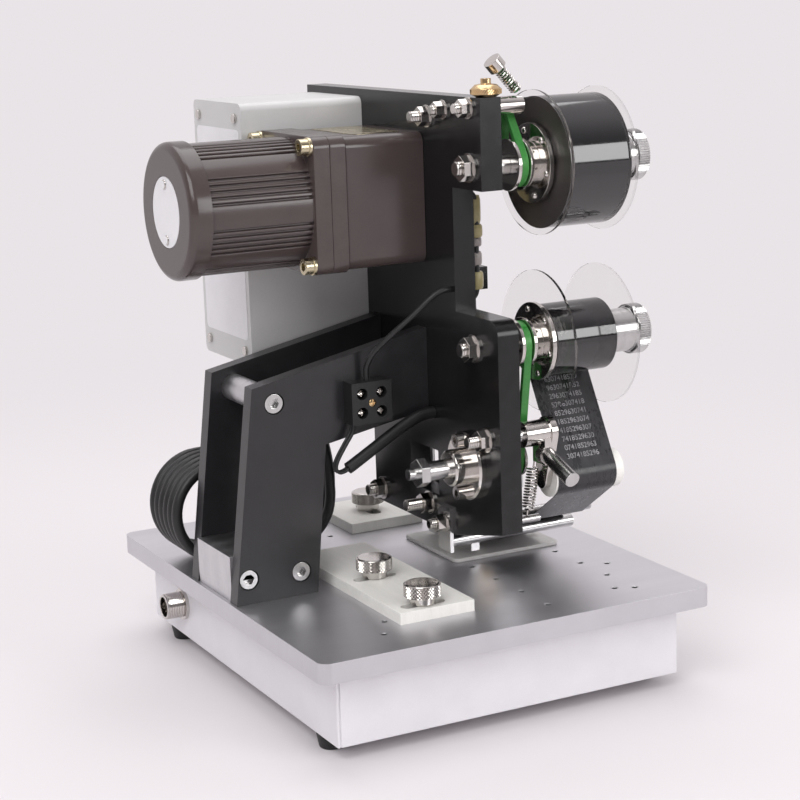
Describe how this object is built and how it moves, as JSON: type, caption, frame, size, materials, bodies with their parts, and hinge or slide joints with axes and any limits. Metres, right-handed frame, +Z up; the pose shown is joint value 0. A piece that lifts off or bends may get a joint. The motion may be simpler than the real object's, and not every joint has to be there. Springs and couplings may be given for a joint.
{
  "type": "ribbon date coder",
  "caption": "Motor-driven desk coder that stamps dates through a ribbon: heated type head, supply and take-up reels, tension lever, control box and slotted bag stops on a base.",
  "frame": {"origin": "on the standing plane, under the middle of the machine's overall outline", "axes": "+X from the motor towards the operator's side with the reels, +Y towards the control box, +Z up"},
  "size_m": [0.2372, 0.27, 0.331],
  "materials": {
    "deck_aluminium": "satin",
    "box_paint": "satin",
    "charcoal_paint": "satin",
    "black_plate": "black anodised",
    "bare_aluminium": "milled",
    "steel": "turned",
    "nickel": "polished",
    "zinc_yellow": "zinc plated",
    "brass": "turned",
    "motor_paint": "matte",
    "control_shell": "fine grain",
    "black_plastic": "matte",
    "clear_disc": "clear",
    "ribbon_black": "gloss",
    "ribbon_used": "satin",
    "green_belt": "smooth",
    "nylon": "smooth",
    "pad_rubber": "smooth",
    "black_rubber": "matte",
    "white_label": "satin"
  },
  "bodies": {
    "frame": {"base_box": "box_paint", "rubber_feet": "black_rubber", "base_plate": "deck_aluminium", "foot_switch_socket": "nickel", "column_side_near": "charcoal_paint", "column_side_far": "charcoal_paint", "column_spacers": "bare_aluminium", "frame_screws": "steel", "main_plate": "black_plate", "plate_fasteners": "nickel", "gearbox": "motor_paint", "motor_body": "motor_paint", "motor_end_cap": "motor_paint", "motor_nameplate": "white_label", "gearbox_screws": "zinc_yellow", "control_box": "control_shell", "reel_shafts": "steel", "brake_hardware": "nickel", "brake_band": "green_belt", "brake_spring": "steel", "takeup_belt": "green_belt", "bearing_flange": "nickel", "lever_spring": "steel", "guide_pins": "steel", "ribbon_web": "ribbon_used", "guide_posts": "steel", "post_blocks": "black_plate", "print_pad": "pad_rubber", "terminal_block": "black_plastic", "wiring": "black_rubber", "cord_gland": "black_plastic", "cord_lead": "black_rubber", "cord_hank": "black_rubber", "cord_tie": "black_plastic", "cord_plug": "black_rubber"},
    "supply_reel": {"upper_hub": "nickel", "upper_discs": "clear_disc", "ribbon_roll": "ribbon_black", "upper_knob": "steel"},
    "takeup_reel": {"lower_hub": "nickel", "lower_discs": "clear_disc", "takeup_core": "ribbon_black", "lower_knob": "steel"},
    "feed_drive": {"drive_shaft": "steel"},
    "tension_lever": {"feed_lever": "nickel", "lever_handle": "steel"},
    "roller": {"ribbon_roller": "nylon"},
    "print_head": {"head_slide": "bare_aluminium", "heater_block": "bare_aluminium", "type_holder": "brass"},
    "crank": {"crank": "steel"},
    "rocker": {"power_switch": "black_plastic"},
    "temperature_dial": {"temperature_knob": "black_plastic"},
    "speed_dial": {"speed_knob": "black_plastic"},
    "back_guide": {"back_stop": "nylon"},
    "side_guide": {"side_stop": "nylon"},
    "thumb_near": {"back_nut_near": "nickel"},
    "thumb_far": {"back_nut_far": "nickel"},
    "thumb_side": {"side_nut": "nickel"},
    "adjuster": {"brass_adjuster": "brass"}
  },
  "joints": [
    {"name": "supply_spin", "type": "hinge", "parent": "frame", "child": "supply_reel", "pos_m": [0.0236, -0.082, 0.276], "axis": [1, 0, 0], "continuous": true},
    {"name": "takeup_spin", "type": "hinge", "parent": "frame", "child": "takeup_reel", "pos_m": [0.0236, -0.082, 0.1855], "axis": [1, 0, 0], "continuous": true},
    {"name": "drive_spin", "type": "hinge", "parent": "frame", "child": "feed_drive", "pos_m": [0.0236, -0.074, 0.1238], "axis": [1, 0, 0], "continuous": true},
    {"name": "lever_swing", "type": "hinge", "parent": "frame", "child": "tension_lever", "pos_m": [0.0236, -0.093, 0.1405], "axis": [1, 0, 0], "range_deg": [0, 15], "stiffness_Nm_per_rad": 0.6, "springref_deg": -8.59, "deforming": ["lever_spring"]},
    {"name": "roller_spin", "type": "hinge", "parent": "tension_lever", "child": "roller", "pos_m": [0.0506, -0.088, 0.1145], "axis": [1, 0, 0], "continuous": true},
    {"name": "head_stroke", "type": "slide", "parent": "frame", "child": "print_head", "axis": [0, 0, -1], "range_m": [0, 0.016]},
    {"name": "crank_turn", "type": "hinge", "parent": "frame", "child": "crank", "pos_m": [0.0236, 0, 0.2575], "axis": [1, 0, 0], "range_deg": [0, 180.2]},
    {"name": "switch_rock", "type": "hinge", "parent": "frame", "child": "rocker", "pos_m": [0.0216, 0.069, 0.2805], "axis": [0, 1, 0], "range_deg": [-8, 8]},
    {"name": "temperature_turn", "type": "hinge", "parent": "frame", "child": "temperature_dial", "pos_m": [0.0236, 0.069, 0.2445], "axis": [1, 0, 0], "range_deg": [-135, 135]},
    {"name": "speed_turn", "type": "hinge", "parent": "frame", "child": "speed_dial", "pos_m": [0.0236, 0.069, 0.2085], "axis": [1, 0, 0], "range_deg": [-135, 135]},
    {"name": "back_guide_slide", "type": "slide", "parent": "frame", "child": "back_guide", "axis": [1, 0, 0], "range_m": [-0.008, 0.008]},
    {"name": "side_guide_slide", "type": "slide", "parent": "frame", "child": "side_guide", "axis": [0, 1, 0], "range_m": [-0.008, 0.008]},
    {"name": "thumb_near_turn", "type": "hinge", "parent": "frame", "child": "thumb_near", "pos_m": [-0.0289, -0.0945, 0.0565], "axis": [0, 0, 1], "continuous": true},
    {"name": "thumb_far_turn", "type": "hinge", "parent": "frame", "child": "thumb_far", "pos_m": [-0.0289, -0.041, 0.0565], "axis": [0, 0, 1], "continuous": true},
    {"name": "thumb_side_turn", "type": "hinge", "parent": "frame", "child": "thumb_side", "pos_m": [0.0291, 0.082, 0.0565], "axis": [0, 0, 1], "continuous": true},
    {"name": "adjuster_turn", "type": "hinge", "parent": "frame", "child": "adjuster", "pos_m": [0.0176, -0.089, 0.3105], "axis": [0, 0, 1], "continuous": true}
  ],
  "couplings": [
    {"joint": "drive_spin", "follows": "takeup_spin", "ratio": 1.4167},
    {"joint": "crank_turn", "follows": "head_stroke", "rad_per_m": 196.35}
  ]
}
